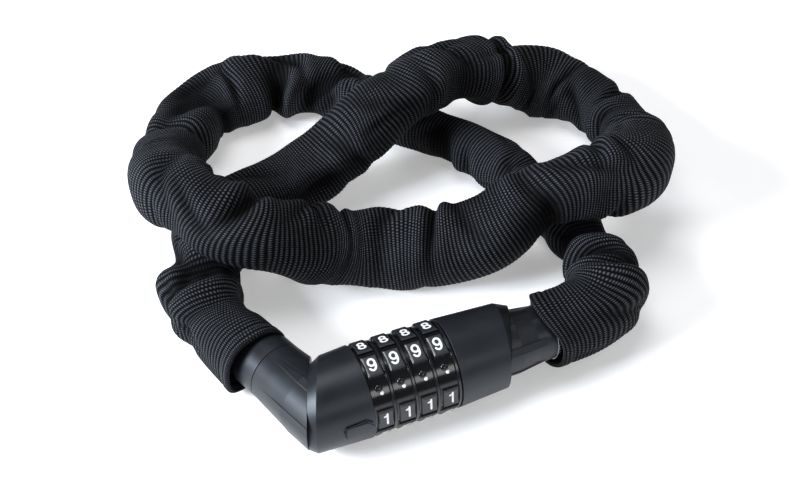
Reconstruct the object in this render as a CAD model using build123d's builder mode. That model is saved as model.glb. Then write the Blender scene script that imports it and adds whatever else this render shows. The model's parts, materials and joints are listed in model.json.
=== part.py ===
from build123d import *
from math import cos, pi, radians, sin, tan
import os

# Four-dial combination chain lock, lying closed on a surface.
# +X runs along the barrel from the elbow end to the plug end, +Z is up, z = 0 is the surface.
# The origin is under the middle of the hardware, without the sleeve and the chain.

# ---- play and cutting allowances ----
FIT = 0.1
CUT_MARGIN = 1.0
SLANT_REACH = 9.0

# ---- where the barrel lies ----
BARREL_X = -7.39
BARREL_Y = -15.32
AXIS_HEIGHT = 17.63

# ---- dials and code rings ----
DIAL_COUNT = 4
DIGITS = 10
DIAL_PITCH = 8.5
DIAL_WIDTH = 8.05
DIAL_START = 0.2
VALLEY_RADIUS = 16.2
RIM_RADIUS = 17.0
RIM_WIDTH = 0.9
TILE_FACE = 17.25
TILE_FOOT = 15.6
TILE_LENGTH = 8.4
TILE_WIDTH = 6.0
TILE_BEVEL = 0.55
TILE_CENTRE = 3.8
CODE_ROW = 5.0
DIAL_BORE = 11.05
KEY_RADIUS = 11.8
KEY_WIDTH = 1.6
KEY_PLAY = 0.1
KEY_SETBACK = 0.5
RING_RADIUS = 11.0
RING_BORE = 6.45
RECESS_RADIUS = 9.0
RECESS_DEPTH = 4.6
GATE_WIDTH = 3.6
NOTCH_RADIUS = 0.5
WASHER_INNER = 12.6
WASHER_OUTER = 15.4
WASHER_THICKNESS = 0.35
WASHER_SHIFT = 0.03

# ---- core tube, plug pin and springs ----
TUBE_RADIUS = 6.4
TUBE_BORE = 3.6
TUBE_LEFT = -26.0
TUBE_RIGHT = 33.0
SLOT_LEFT = -18.0
SLOT_WIDTH = 3.4
CLICK_GROOVE_WIDTH = 3.2
CLICK_GROOVE_FLOOR = 5.0
LEAF_THICKNESS = 0.4
LEAF_FLOOR = 5.15
LEAF_RISE = 0.7
LEAF_FOOT = 2.4
LEAF_CREST = 0.6
PIN_RADIUS = 3.5
PIN_TIP = -19.0
PIN_CHAMFER = 1.2
TOOTH_START = 2.3
TOOTH_LENGTH = 2.0
TOOTH_WIDTH = 2.8
TOOTH_TOP = 8.5
HEAD_RADIUS = 9.0
HEAD_START = 34.6
HEAD_END = 39.0
HEAD_CHAMFER = 1.0
MOUTH_RADIUS = 9.1
SEAL_STATION = 37.0
SEAL_MINOR = 0.75
SEAL_PROUD = 0.02
SEAL_SHRINK = 0.05
SPRING_RADIUS = 9.3
SPRING_WIRE = 0.9
THRUST_START = 17.1
THRUST_END = 18.3
SPRING_START = 18.9
SPRING_SEAT = 26.1
SPRING_CHAMBER = 10.4
SPRING_TURNS = 2.4
SPRING_PITCH = 2.5
ROLL_PIN_RADIUS = 1.5
ROLL_PIN_LENGTH = 26.6
LEFT_PIN_STATION = -23.0
RIGHT_PIN_STATION = 29.5
RIGHT_PIN_REACH = 4.2

# ---- housings ----
HOUSING_RADIUS = 17.6
HOUSING_GAP = 17.25
CAVITY_RADIUS = 13.6
INSERT_RADIUS = 13.55
LEFT_OUTER_STATION = -32.6
LEFT_OUTER_RADIUS = 16.9
LEFT_FACE_STATION = -36.2
LEFT_FACE_RADIUS = 14.6
LEFT_SLANT = -22.0
LEFT_CAVITY_END = -27.0
RIGHT_START_RADIUS = 17.3
RIGHT_OUTER_STATION = 40.0
RIGHT_OUTER_RADIUS = 16.1
RIGHT_OUTER_SLANT = -10.0
RIGHT_FACE_STATION = 43.6
RIGHT_FACE_RADIUS = 13.6
RIGHT_FACE_SLANT = -22.0
RIGHT_CAVITY_END = 33.0
INDEX_ANGLE = 2.5
INDEX_LENGTH = 11.0
INDEX_HEIGHT = 5.4
INDEX_PROUD = 0.55
INDEX_POINT = 2.6
INDEX_ROOT = 1.5
INDEX_SETBACK = 0.4
INDEX_CROWN = 0.25

# ---- elbow neck, on the left ----
NECK_INSIDE = 16.0
NECK_YAW = 108.5
NECK_SLOPE = 5.0
NECK_RADIUS = 12.0
NECK_ROOT_RADIUS = 13.2
NECK_OFFSET = 2.7
NECK_BORE = 9.6
NECK_LENGTH = 19.5
COLLAR_START = 19.8
COLLAR_END = 31.5
ELBOW_ROD_RADIUS = 4.0
ROD_PASSAGE = 7.2
ROD_START = -20.2
ROD_KNEE = -28.0
ROD_BEND = 6.0
ROD_FIT = 0.05
SPIGOT_RADIUS = 10.0
SPIGOT_START = 31.6
SPIGOT_END = 45.0
CLEVIS_START = 33.0
CLEVIS_SLOT = 7.4
ANCHOR_STATION = 41.3
ANCHOR_RADIUS = 2.4
ANCHOR_HALF = 9.5
ANCHOR_PLAY = 0.3
RIB_COUNT = 6
RIB_LENGTH = 18.0
RIB_WIDTH = 3.2
RIB_PROUD = 0.35
RIB_START = -11.0
RIB_ROOT = 1.5
RIB_TIP = 0.6

# ---- plug neck, on the right ----
PLUG_NECK_ROOT = 12.0
PLUG_ROOT_END = 44.6
PLUG_RIB_PROUD = 0.35
PLUG_RIB_END = 56.4
PLUG_RIB_SINK = 0.2
PLUG_NECK_RADIUS = 11.0
PLUG_NECK_FLARE_END = 52.0
PLUG_NECK_END = 59.4
PLUG_SHANK = 6.0
FERRULE_END = 61.0
FERRULE_RADIUS = 11.3
PLUG_CLEVIS_START = 62.2
PLUG_SPIGOT_END = 73.6
PLUG_ANCHOR_STATION = 70.6
PARTING_GAP = 0.25

# ---- sleeve and chain ----
SLEEVE_RADIUS = 12.5
SLEEVE_WALL = 1.2
LINK_WIRE = 5.5
LINK_INNER_WIDTH = 8.5
LINK_INNER_LENGTH = 20.0
LINK_SPACING = 18.7
SPLIT_POINT = 33
SPLIT_GAP = 0.4
CROSSING_GAP = 0.6
NECK_EXIT = 52.5
ARC_SHARE = 0.45

BARREL = Vector(BARREL_X, BARREL_Y, AXIS_HEIGHT)
BARREL_AXIS = Axis(BARREL, (1, 0, 0))
BARREL_PROFILE = Plane(origin=BARREL, x_dir=(1, 0, 0), z_dir=(0, -1, 0))
DIGIT_STEP = 360 / DIGITS

NECK_DIRECTION = Vector(
    cos(radians(NECK_YAW)) * cos(radians(NECK_SLOPE)),
    sin(radians(NECK_YAW)) * cos(radians(NECK_SLOPE)),
    -sin(radians(NECK_SLOPE)),
)
NECK_SIDE = Vector(sin(radians(NECK_YAW)), -cos(radians(NECK_YAW)), 0)
NECK_UP = NECK_SIDE.cross(NECK_DIRECTION)
NECK_START = BARREL + Vector(
    LEFT_FACE_STATION - NECK_OFFSET * tan(radians(LEFT_SLANT)), NECK_OFFSET, 0
)
NECK_AXIS = Axis(NECK_START, NECK_DIRECTION)
NECK_PROFILE = Plane(origin=NECK_START, x_dir=NECK_DIRECTION, z_dir=NECK_SIDE)

# The route of the sleeve and the chain, from the elbow neck to the plug, as
# (x, y) from the barrel's middle and z above the surface. It lies on the surface
# and passes over itself three times, with a hump of two points at each crossing.
FLOOR = SLEEVE_RADIUS + FIT
OVER = FLOOR + 2 * SLEEVE_RADIUS + CROSSING_GAP
neck_mouth = NECK_START + NECK_DIRECTION * COLLAR_END - BARREL
neck_exit = NECK_START + NECK_DIRECTION * NECK_EXIT - BARREL
ROUTE = [
    (neck_mouth.X, neck_mouth.Y, neck_mouth.Z + AXIS_HEIGHT),
    (neck_exit.X, neck_exit.Y, neck_exit.Z + AXIS_HEIGHT),
    (-56.5, 75, FLOOR),
    (-47.5, 97, FLOOR),
    (-33, 112.5, FLOOR),
    (-10, 121.5, FLOOR),
    (13, 124, 18),
    (33, 126, 31),
    (50, 131, OVER),
    (80.5, 141.5, OVER),
    (105.5, 151.5, 26),
    (127, 149.5, 14),
    (145, 135, FLOOR),
    (154, 114.7, FLOOR),
    (149.5, 93.2, 15),
    (142.5, 70, 27),
    (123, 49, OVER),
    (91, 50.5, OVER),
    (67, 52, 27),
    (43, 59, 15),
    (22, 70, FLOOR),
    (3.5, 76, 14),
    (-14, 76, 26),
    (-39.5, 80.6, OVER),
    (-54.5, 112.5, OVER),
    (-51.5, 138.3, 27),
    (-45.2, 157.2, 15),
    (-38.1, 169.6, FLOOR),
    (-26.2, 186.9, FLOOR),
    (-4, 196.7, FLOOR),
    (19.7, 195.8, FLOOR),
    (42.5, 181, FLOOR),
    (57.8, 159.5, FLOOR),
    (71.8, 134.5, FLOOR),
    (85.6, 112.4, FLOOR),
    (95, 89, FLOOR),
    (99, 64, FLOOR),
    (98.7, 37, FLOOR),
    (98.5, 17, 15),
    (82, 0, AXIS_HEIGHT),
    (FERRULE_END, 0, AXIS_HEIGHT),
]
route = [Vector(BARREL_X + x, BARREL_Y + y, z) for x, y, z in ROUTE]

os.makedirs("parts", exist_ok=True)


def save(part, name):
    """Label one finished piece and write it to its own STEP file."""
    part.label = name
    export_step(part, f"parts/{name}.step")


def station(x):
    """Cross-section plane of the barrel: local x is +Y, local y is up."""
    return Plane(origin=BARREL + Vector(x, 0, 0), x_dir=(0, 1, 0), z_dir=(1, 0, 0))


def slanted(x, yaw):
    """Plane across the barrel at x, with its normal turned by yaw about the vertical."""
    c, s = cos(radians(yaw)), sin(radians(yaw))
    return Plane(origin=BARREL + Vector(x, 0, 0), x_dir=(-s, c, 0), z_dir=(c, s, 0))


def neck_station(s):
    """Cross-section plane of the elbow neck, s along it from the housing's end face."""
    return Plane(origin=NECK_START + NECK_DIRECTION * s, x_dir=NECK_SIDE, z_dir=NECK_DIRECTION)


def outline(points, plane=BARREL_PROFILE):
    """Closed straight-sided face through (along, radius) points of an axis."""
    with BuildSketch(plane) as face:
        with BuildLine():
            Polyline(*points, close=True)
        make_face()
    return face.sketch


def tube_outline(start, end, bore, radius):
    """Half section of a plain ring round the barrel axis."""
    return outline([(start, bore), (end, bore), (end, radius), (start, radius)])


def around(part, angle):
    """A copy of a piece turned about the barrel axis."""
    return part.rotate(BARREL_AXIS, angle)


def cross_hole(x, length):
    """A vertical roll-pin body through the barrel axis at station x."""
    with BuildPart(mode=Mode.PRIVATE) as hole:
        with BuildSketch(Plane(origin=BARREL + Vector(x, 0, -length / 2))):
            Circle(ROLL_PIN_RADIUS)
        extrude(amount=length)
    return hole.part


def dial_left(index):
    """Left edge of a dial, along the barrel."""
    return (index - DIAL_COUNT / 2) * DIAL_PITCH + DIAL_START


# ---- housings ----
# The index mark: a slightly raised pad on the code row, pointing at the first dial.
index_plane = Plane(
    origin=BARREL
    + Vector(
        -HOUSING_GAP - INDEX_SETBACK,
        -(HOUSING_RADIUS - INDEX_ROOT) * cos(radians(INDEX_ANGLE)),
        (HOUSING_RADIUS - INDEX_ROOT) * sin(radians(INDEX_ANGLE)),
    ),
    x_dir=(1, 0, 0),
    z_dir=(0, -cos(radians(INDEX_ANGLE)), sin(radians(INDEX_ANGLE))),
)
with BuildPart() as index_pad:
    with BuildSketch(index_plane):
        with BuildLine():
            Polyline(
                (0, 0),
                (-INDEX_POINT, INDEX_HEIGHT / 2),
                (-INDEX_LENGTH, INDEX_HEIGHT / 2),
                (-INDEX_LENGTH, -INDEX_HEIGHT / 2),
                (-INDEX_POINT, -INDEX_HEIGHT / 2),
                close=True,
            )
        make_face()
    extrude(amount=INDEX_ROOT + INDEX_PROUD)
    with BuildSketch(station(-HOUSING_GAP - INDEX_LENGTH - CUT_MARGIN)):
        Circle(HOUSING_RADIUS + INDEX_CROWN)
    extrude(amount=INDEX_LENGTH + CUT_MARGIN, mode=Mode.INTERSECT)

with BuildPart() as left_housing:
    with BuildSketch(station(-HOUSING_GAP)):
        Circle(HOUSING_RADIUS)
    with BuildSketch(slanted(LEFT_OUTER_STATION, LEFT_SLANT)):
        Ellipse(LEFT_OUTER_RADIUS / cos(radians(LEFT_SLANT)), LEFT_OUTER_RADIUS)
    loft()
    with BuildSketch(slanted(LEFT_OUTER_STATION, LEFT_SLANT)):
        Ellipse(LEFT_OUTER_RADIUS / cos(radians(LEFT_SLANT)), LEFT_OUTER_RADIUS)
    with BuildSketch(slanted(LEFT_FACE_STATION, LEFT_SLANT)):
        Ellipse(LEFT_FACE_RADIUS / cos(radians(LEFT_SLANT)), LEFT_FACE_RADIUS)
    loft()
    add(index_pad.part)
    revolve(
        tube_outline(LEFT_CAVITY_END, -HOUSING_GAP, 0, CAVITY_RADIUS),
        axis=BARREL_AXIS,
        mode=Mode.SUBTRACT,
    )
    revolve(
        tube_outline(LEFT_FACE_STATION - SLANT_REACH, LEFT_CAVITY_END, 0, ROD_PASSAGE),
        axis=BARREL_AXIS,
        mode=Mode.SUBTRACT,
    )
save(left_housing.part, "left_housing")

with BuildPart() as right_housing:
    with BuildSketch(station(HOUSING_GAP)):
        Circle(RIGHT_START_RADIUS)
    with BuildSketch(slanted(RIGHT_OUTER_STATION, RIGHT_OUTER_SLANT)):
        Ellipse(RIGHT_OUTER_RADIUS / cos(radians(RIGHT_OUTER_SLANT)), RIGHT_OUTER_RADIUS)
    loft()
    with BuildSketch(slanted(RIGHT_OUTER_STATION, RIGHT_OUTER_SLANT)):
        Ellipse(RIGHT_OUTER_RADIUS / cos(radians(RIGHT_OUTER_SLANT)), RIGHT_OUTER_RADIUS)
    with BuildSketch(slanted(RIGHT_FACE_STATION, RIGHT_FACE_SLANT)):
        Ellipse(RIGHT_FACE_RADIUS / cos(radians(RIGHT_FACE_SLANT)), RIGHT_FACE_RADIUS)
    loft()
    revolve(
        tube_outline(HOUSING_GAP, RIGHT_CAVITY_END, 0, CAVITY_RADIUS),
        axis=BARREL_AXIS,
        mode=Mode.SUBTRACT,
    )
    revolve(
        tube_outline(RIGHT_CAVITY_END, RIGHT_FACE_STATION + SLANT_REACH, 0, MOUTH_RADIUS),
        axis=BARREL_AXIS,
        mode=Mode.SUBTRACT,
    )
save(right_housing.part, "right_housing")

with BuildPart() as left_insert:
    revolve(
        tube_outline(LEFT_CAVITY_END, -HOUSING_GAP - FIT, TUBE_RADIUS, INSERT_RADIUS),
        axis=BARREL_AXIS,
    )
    add(cross_hole(LEFT_PIN_STATION, ROLL_PIN_LENGTH), mode=Mode.SUBTRACT)
save(left_insert.part, "left_insert")

with BuildPart() as right_insert:
    revolve(
        outline(
            [
                (HOUSING_GAP + FIT, SPRING_CHAMBER),
                (SPRING_SEAT, SPRING_CHAMBER),
                (SPRING_SEAT, TUBE_RADIUS),
                (RIGHT_CAVITY_END, TUBE_RADIUS),
                (RIGHT_CAVITY_END, INSERT_RADIUS),
                (HOUSING_GAP + FIT, INSERT_RADIUS),
            ]
        ),
        axis=BARREL_AXIS,
    )
    with BuildSketch(station(HOUSING_GAP)):
        with Locations((0, RECESS_RADIUS / 2)):
            Rectangle(GATE_WIDTH, RECESS_RADIUS)
    extrude(amount=RIGHT_CAVITY_END - HOUSING_GAP, mode=Mode.SUBTRACT)
    with BuildSketch(Plane(origin=BARREL + Vector(RIGHT_PIN_STATION, 0, -INSERT_RADIUS))):
        Circle(ROLL_PIN_RADIUS)
    extrude(amount=INSERT_RADIUS - TUBE_RADIUS + CUT_MARGIN, mode=Mode.SUBTRACT)
save(right_insert.part, "right_insert")

# ---- core tube: slotted along its top for the plug's teeth ----
with BuildPart() as core_tube:
    revolve(
        tube_outline(TUBE_LEFT, TUBE_RIGHT, TUBE_BORE, TUBE_RADIUS),
        axis=BARREL_AXIS,
    )
    with BuildSketch(station(SLOT_LEFT)):
        with Locations((0, (TUBE_RADIUS + CUT_MARGIN) / 2)):
            Rectangle(SLOT_WIDTH, TUBE_RADIUS + CUT_MARGIN)
    extrude(amount=TUBE_RIGHT - SLOT_LEFT, mode=Mode.SUBTRACT)
    with BuildSketch(station(SLOT_LEFT)):
        with Locations((0, -CLICK_GROOVE_FLOOR - CUT_MARGIN)):
            Rectangle(CLICK_GROOVE_WIDTH, 2 * CUT_MARGIN)
    extrude(amount=-SLOT_LEFT + HOUSING_GAP, mode=Mode.SUBTRACT)
    add(cross_hole(LEFT_PIN_STATION, ROLL_PIN_LENGTH), mode=Mode.SUBTRACT)
    with BuildSketch(Plane(origin=BARREL + Vector(RIGHT_PIN_STATION, 0, -TUBE_RADIUS - CUT_MARGIN))):
        Circle(ROLL_PIN_RADIUS)
    extrude(amount=TUBE_RADIUS + CUT_MARGIN - RIGHT_PIN_REACH, mode=Mode.SUBTRACT)
save(core_tube.part, "core_tube")

with BuildPart() as roll_pins:
    add(cross_hole(LEFT_PIN_STATION, ROLL_PIN_LENGTH))
    with BuildSketch(Plane(origin=BARREL + Vector(RIGHT_PIN_STATION, 0, -INSERT_RADIUS + 2 * FIT))):
        Circle(ROLL_PIN_RADIUS)
    extrude(amount=INSERT_RADIUS - 2 * FIT - RIGHT_PIN_REACH)
save(roll_pins.part, "roll_pins")

# A leaf spring in the tube's bottom groove, with one crest under each code ring.
with BuildPart() as click_spring:
    with BuildSketch(BARREL_PROFILE):
        with BuildLine():
            crests = [(SLOT_LEFT + 5 * FIT, -LEAF_FLOOR)]
            for index in range(DIAL_COUNT):
                centre = dial_left(index) + (RECESS_DEPTH + DIAL_WIDTH) / 2
                crests.append((centre - LEAF_FOOT, -LEAF_FLOOR))
                crests.append((centre - LEAF_CREST, -LEAF_FLOOR - LEAF_RISE))
                crests.append((centre + LEAF_CREST, -LEAF_FLOOR - LEAF_RISE))
                crests.append((centre + LEAF_FOOT, -LEAF_FLOOR))
            crests.pop()
            under = [(x, y - LEAF_THICKNESS) for x, y in reversed(crests)]
            Polyline(*crests, *under, close=True)
        make_face()
    extrude(amount=CLICK_GROOVE_WIDTH / 2 - FIT, both=True)
save(click_spring.part, "click_spring")

with BuildPart() as pack_spring:
    with BuildLine(station(SPRING_START)) as coil:
        Helix(
            pitch=SPRING_PITCH,
            height=SPRING_PITCH * SPRING_TURNS,
            radius=SPRING_RADIUS,
            center=BARREL + Vector(SPRING_START, 0, 0),
            direction=(1, 0, 0),
        )
    with BuildSketch(Plane(origin=coil.line @ 0, z_dir=coil.line % 0)):
        Circle(SPRING_WIRE / 2)
    sweep(path=coil.line)
save(pack_spring.part, "pack_spring")

with BuildPart() as thrust_washer:
    revolve(
        tube_outline(THRUST_START, THRUST_END, TUBE_RADIUS + FIT, SPRING_CHAMBER - 2 * FIT),
        axis=BARREL_AXIS,
    )
    with BuildSketch(station(THRUST_START)):
        with Locations((0, RECESS_RADIUS / 2)):
            Rectangle(GATE_WIDTH, RECESS_RADIUS)
    extrude(amount=THRUST_END - THRUST_START, mode=Mode.SUBTRACT)
save(thrust_washer.part, "thrust_washer")

with BuildPart() as dial_washers:
    for index in range(DIAL_COUNT + 1):
        edge = (index - DIAL_COUNT / 2) * DIAL_PITCH
        revolve(
            tube_outline(
                edge - WASHER_THICKNESS / 2 - WASHER_SHIFT,
                edge + WASHER_THICKNESS / 2 - WASHER_SHIFT,
                WASHER_INNER,
                WASHER_OUTER,
            ),
            axis=BARREL_AXIS,
        )
save(dial_washers.part, "dial_washers")


# ---- dials and code rings ----
def digit_tile(left):
    """The raised pad that carries one digit, standing on the dial at the code row."""
    c, s = cos(radians(CODE_ROW)), sin(radians(CODE_ROW))
    foot = Plane(
        origin=BARREL + Vector(left + TILE_CENTRE, -TILE_FOOT * c, TILE_FOOT * s),
        x_dir=(1, 0, 0),
        z_dir=(0, -c, s),
    )
    with BuildPart() as tile:
        with BuildSketch(foot):
            Rectangle(TILE_WIDTH, TILE_LENGTH)
        extrude(amount=TILE_FACE - TILE_FOOT)
        chamfer(tile.edges().group_by(Axis(foot.origin, foot.z_dir))[-1], TILE_BEVEL)
    return tile.part


def number_dial(left):
    """One dial: nine digit tiles and a bare valley for zero, with a thin rim."""
    with BuildPart() as dial:
        revolve(
            outline(
                [
                    (left, DIAL_BORE),
                    (left + DIAL_WIDTH, DIAL_BORE),
                    (left + DIAL_WIDTH, RIM_RADIUS),
                    (left + DIAL_WIDTH - RIM_WIDTH, RIM_RADIUS),
                    (left + DIAL_WIDTH - RIM_WIDTH, VALLEY_RADIUS),
                    (left, VALLEY_RADIUS),
                ]
            ),
            axis=BARREL_AXIS,
        )
        tile = digit_tile(left)
        for position in range(DIGITS - 1):
            add(around(tile, position * DIGIT_STEP))
        with BuildSketch(station(left)):
            with PolarLocations(DIAL_BORE, DIGITS):
                Rectangle(2 * (KEY_RADIUS + KEY_PLAY - DIAL_BORE), KEY_WIDTH + 2 * KEY_PLAY)
        extrude(amount=DIAL_WIDTH, mode=Mode.SUBTRACT)
    return dial.part


def code_ring(left):
    """The ring inside a dial: keyed to it, with a gate in its web for the plug's tooth."""
    with BuildPart() as ring:
        revolve(
            outline(
                [
                    (left, RECESS_RADIUS),
                    (left + RECESS_DEPTH, RECESS_RADIUS),
                    (left + RECESS_DEPTH, RING_BORE),
                    (left + DIAL_WIDTH, RING_BORE),
                    (left + DIAL_WIDTH, RING_RADIUS),
                    (left, RING_RADIUS),
                ]
            ),
            axis=BARREL_AXIS,
        )
        with BuildSketch(station(left + KEY_SETBACK)):
            with PolarLocations(RING_RADIUS, DIGITS):
                Rectangle(2 * (KEY_RADIUS - RING_RADIUS), KEY_WIDTH)
        extrude(amount=DIAL_WIDTH - 2 * KEY_SETBACK)
        with BuildSketch(station(left + RECESS_DEPTH)):
            with Locations((0, RECESS_RADIUS / 2)):
                Rectangle(GATE_WIDTH, RECESS_RADIUS)
            with PolarLocations(RING_BORE, DIGITS, start_angle=90):
                Circle(NOTCH_RADIUS)
        extrude(amount=DIAL_WIDTH - RECESS_DEPTH, mode=Mode.SUBTRACT)
    return ring.part


for index in range(DIAL_COUNT):
    save(number_dial(dial_left(index)), f"dial_{index + 1}")
    save(code_ring(dial_left(index)), f"code_ring_{index + 1}")


# ---- elbow neck ----
def neck_outline(points):
    """Half section of a part turned about the elbow neck's axis."""
    return outline(points, NECK_PROFILE)


def neck_rib(angle):
    """A wedge along the neck, tallest at the housing and running out towards the collar."""
    with BuildPart() as rib:
        with BuildSketch(Plane(origin=NECK_START, x_dir=NECK_DIRECTION, z_dir=NECK_SIDE)):
            with BuildLine():
                Polyline(
                    (-NECK_INSIDE, NECK_RADIUS - RIB_ROOT),
                    (RIB_LENGTH, NECK_RADIUS - RIB_ROOT),
                    (RIB_LENGTH, NECK_RADIUS),
                    (0, NECK_ROOT_RADIUS + RIB_PROUD),
                    (-NECK_INSIDE, NECK_ROOT_RADIUS + RIB_PROUD),
                    close=True,
                )
            make_face()
        extrude(amount=RIB_WIDTH / 2, both=True)
        with BuildSketch(Plane(origin=NECK_START, x_dir=NECK_DIRECTION, z_dir=NECK_UP)):
            with BuildLine():
                Polyline(
                    (-NECK_INSIDE, RIB_WIDTH / 2),
                    (0, RIB_WIDTH / 2),
                    (RIB_LENGTH, RIB_TIP / 2),
                    (RIB_LENGTH, -RIB_TIP / 2),
                    (0, -RIB_WIDTH / 2),
                    (-NECK_INSIDE, -RIB_WIDTH / 2),
                    close=True,
                )
            make_face()
        extrude(amount=2 * NECK_ROOT_RADIUS, mode=Mode.INTERSECT)
    return rib.part.rotate(NECK_AXIS, angle)


with BuildPart() as elbow_neck:
    revolve(
        neck_outline(
            [
                (-NECK_INSIDE, NECK_BORE),
                (NECK_LENGTH, NECK_BORE),
                (NECK_LENGTH, NECK_RADIUS),
                (0, NECK_ROOT_RADIUS),
                (-NECK_INSIDE, NECK_ROOT_RADIUS),
            ]
        ),
        axis=NECK_AXIS,
    )
    for rib_index in range(RIB_COUNT):
        add(neck_rib(RIB_START + rib_index * 360 / RIB_COUNT))
    split(bisect_by=slanted(LEFT_FACE_STATION, LEFT_SLANT), keep=Keep.BOTTOM)
save(elbow_neck.part, "elbow_neck")

with BuildPart() as neck_collar:
    revolve(
        neck_outline(
            [
                (COLLAR_START, ELBOW_ROD_RADIUS + ROD_FIT),
                (COLLAR_END, ELBOW_ROD_RADIUS + ROD_FIT),
                (COLLAR_END, NECK_RADIUS),
                (COLLAR_START, NECK_RADIUS),
            ]
        ),
        axis=NECK_AXIS,
    )
save(neck_collar.part, "neck_collar")

# The steel rod that ties the core tube to the chain, bent inside the elbow.
rod_start = BARREL + Vector(ROD_START, 0, 0)
rod_knee = BARREL + Vector(ROD_KNEE, 0, 0)
rod_end = NECK_START + NECK_DIRECTION * (SPIGOT_START + FIT)
with BuildPart() as elbow_rod:
    with BuildLine() as rod_path:
        FilletPolyline(rod_start, rod_knee, NECK_START, rod_end, radius=ROD_BEND)
    with BuildSketch(Plane(origin=rod_start, x_dir=(0, 1, 0), z_dir=(-1, 0, 0))):
        Circle(TUBE_BORE)
    sweep(path=rod_path.line)
    revolve(
        neck_outline(
            [
                (SPIGOT_START, 0),
                (SPIGOT_END, 0),
                (SPIGOT_END, SPIGOT_RADIUS),
                (SPIGOT_START, SPIGOT_RADIUS),
            ]
        ),
        axis=NECK_AXIS,
    )
    with BuildSketch(neck_station(CLEVIS_START)):
        Rectangle(CLEVIS_SLOT, 3 * SPIGOT_RADIUS)
    extrude(amount=SPIGOT_END, mode=Mode.SUBTRACT)
    with BuildSketch(Plane(origin=NECK_START + NECK_DIRECTION * ANCHOR_STATION, z_dir=NECK_SIDE)):
        Circle(ANCHOR_RADIUS)
    extrude(amount=SPIGOT_RADIUS, both=True, mode=Mode.SUBTRACT)
    add(cross_hole(LEFT_PIN_STATION, ROLL_PIN_LENGTH), mode=Mode.SUBTRACT)
save(elbow_rod.part, "elbow_rod")

with BuildPart() as left_anchor_pin:
    with BuildSketch(Plane(origin=NECK_START + NECK_DIRECTION * ANCHOR_STATION, z_dir=NECK_SIDE)):
        Circle(ANCHOR_RADIUS)
    extrude(amount=ANCHOR_HALF, both=True)
save(left_anchor_pin.part, "left_anchor_pin")

# ---- plug ----
plug_face = slanted(RIGHT_FACE_STATION + PARTING_GAP, RIGHT_FACE_SLANT)
with BuildPart() as plug_pin:
    revolve(
        outline(
            [
                (PIN_TIP, 0),
                (PIN_TIP, PIN_RADIUS - PIN_CHAMFER),
                (PIN_TIP + PIN_CHAMFER, PIN_RADIUS),
                (HEAD_START, PIN_RADIUS),
                (HEAD_START, HEAD_RADIUS - HEAD_CHAMFER),
                (HEAD_START + HEAD_CHAMFER, HEAD_RADIUS),
                (SEAL_STATION - SEAL_MINOR, HEAD_RADIUS),
                (SEAL_STATION - SEAL_MINOR, HEAD_RADIUS - 2 * SEAL_MINOR),
                (SEAL_STATION + SEAL_MINOR, HEAD_RADIUS - 2 * SEAL_MINOR),
                (SEAL_STATION + SEAL_MINOR, HEAD_RADIUS),
                (HEAD_END, HEAD_RADIUS),
                (HEAD_END, PLUG_SHANK),
                (FERRULE_END, PLUG_SHANK),
                (FERRULE_END, SPIGOT_RADIUS),
                (PLUG_SPIGOT_END, SPIGOT_RADIUS),
                (PLUG_SPIGOT_END, 0),
            ]
        ),
        axis=BARREL_AXIS,
    )
    for index in range(DIAL_COUNT):
        with BuildSketch(station(dial_left(index) + TOOTH_START)):
            with Locations((0, TOOTH_TOP / 2)):
                Rectangle(TOOTH_WIDTH, TOOTH_TOP)
        extrude(amount=TOOTH_LENGTH)
    with BuildSketch(station(PLUG_CLEVIS_START)):
        Rectangle(CLEVIS_SLOT, 3 * SPIGOT_RADIUS)
    extrude(amount=PLUG_SPIGOT_END, mode=Mode.SUBTRACT)
    with BuildSketch(Plane(origin=BARREL + Vector(PLUG_ANCHOR_STATION, 0, 0), z_dir=(0, 1, 0))):
        Circle(ANCHOR_RADIUS)
    extrude(amount=SPIGOT_RADIUS, both=True, mode=Mode.SUBTRACT)
save(plug_pin.part, "plug_pin")

with BuildPart() as right_anchor_pin:
    with BuildSketch(Plane(origin=BARREL + Vector(PLUG_ANCHOR_STATION, 0, 0), z_dir=(0, 1, 0))):
        Circle(ANCHOR_RADIUS)
    extrude(amount=ANCHOR_HALF, both=True)
save(right_anchor_pin.part, "right_anchor_pin")

with BuildPart() as plug_seal:
    with BuildSketch(BARREL_PROFILE):
        with Locations((SEAL_STATION, HEAD_RADIUS - SEAL_MINOR + SEAL_PROUD)):
            Circle(SEAL_MINOR - SEAL_SHRINK)
    revolve(axis=BARREL_AXIS)
save(plug_seal.part, "plug_seal")


def plug_rib(angle):
    """A wedge along the plug neck, tallest at the housing."""
    with BuildPart() as rib:
        with BuildSketch(BARREL_PROFILE):
            with BuildLine():
                Polyline(
                    (RIGHT_FACE_STATION - SLANT_REACH, PLUG_NECK_RADIUS - RIB_ROOT),
                    (PLUG_RIB_END, PLUG_NECK_RADIUS - RIB_ROOT),
                    (PLUG_RIB_END, PLUG_NECK_RADIUS - PLUG_RIB_SINK),
                    (PLUG_ROOT_END, PLUG_NECK_ROOT + PLUG_RIB_PROUD),
                    (RIGHT_FACE_STATION - SLANT_REACH, PLUG_NECK_ROOT + PLUG_RIB_PROUD),
                    close=True,
                )
            make_face()
        extrude(amount=RIB_WIDTH / 2, both=True)
    return around(rib.part, angle)


with BuildPart() as plug_neck:
    revolve(
        outline(
            [
                (RIGHT_FACE_STATION - SLANT_REACH, PLUG_SHANK),
                (PLUG_NECK_END, PLUG_SHANK),
                (PLUG_NECK_END, PLUG_NECK_RADIUS),
                (PLUG_NECK_FLARE_END, PLUG_NECK_RADIUS),
                (PLUG_ROOT_END, PLUG_NECK_ROOT),
                (RIGHT_FACE_STATION - SLANT_REACH, PLUG_NECK_ROOT),
            ]
        ),
        axis=BARREL_AXIS,
    )
    for rib_index in range(RIB_COUNT):
        add(plug_rib(rib_index * 360 / RIB_COUNT))
    split(bisect_by=plug_face, keep=Keep.TOP)
save(plug_neck.part, "plug_neck")

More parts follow.
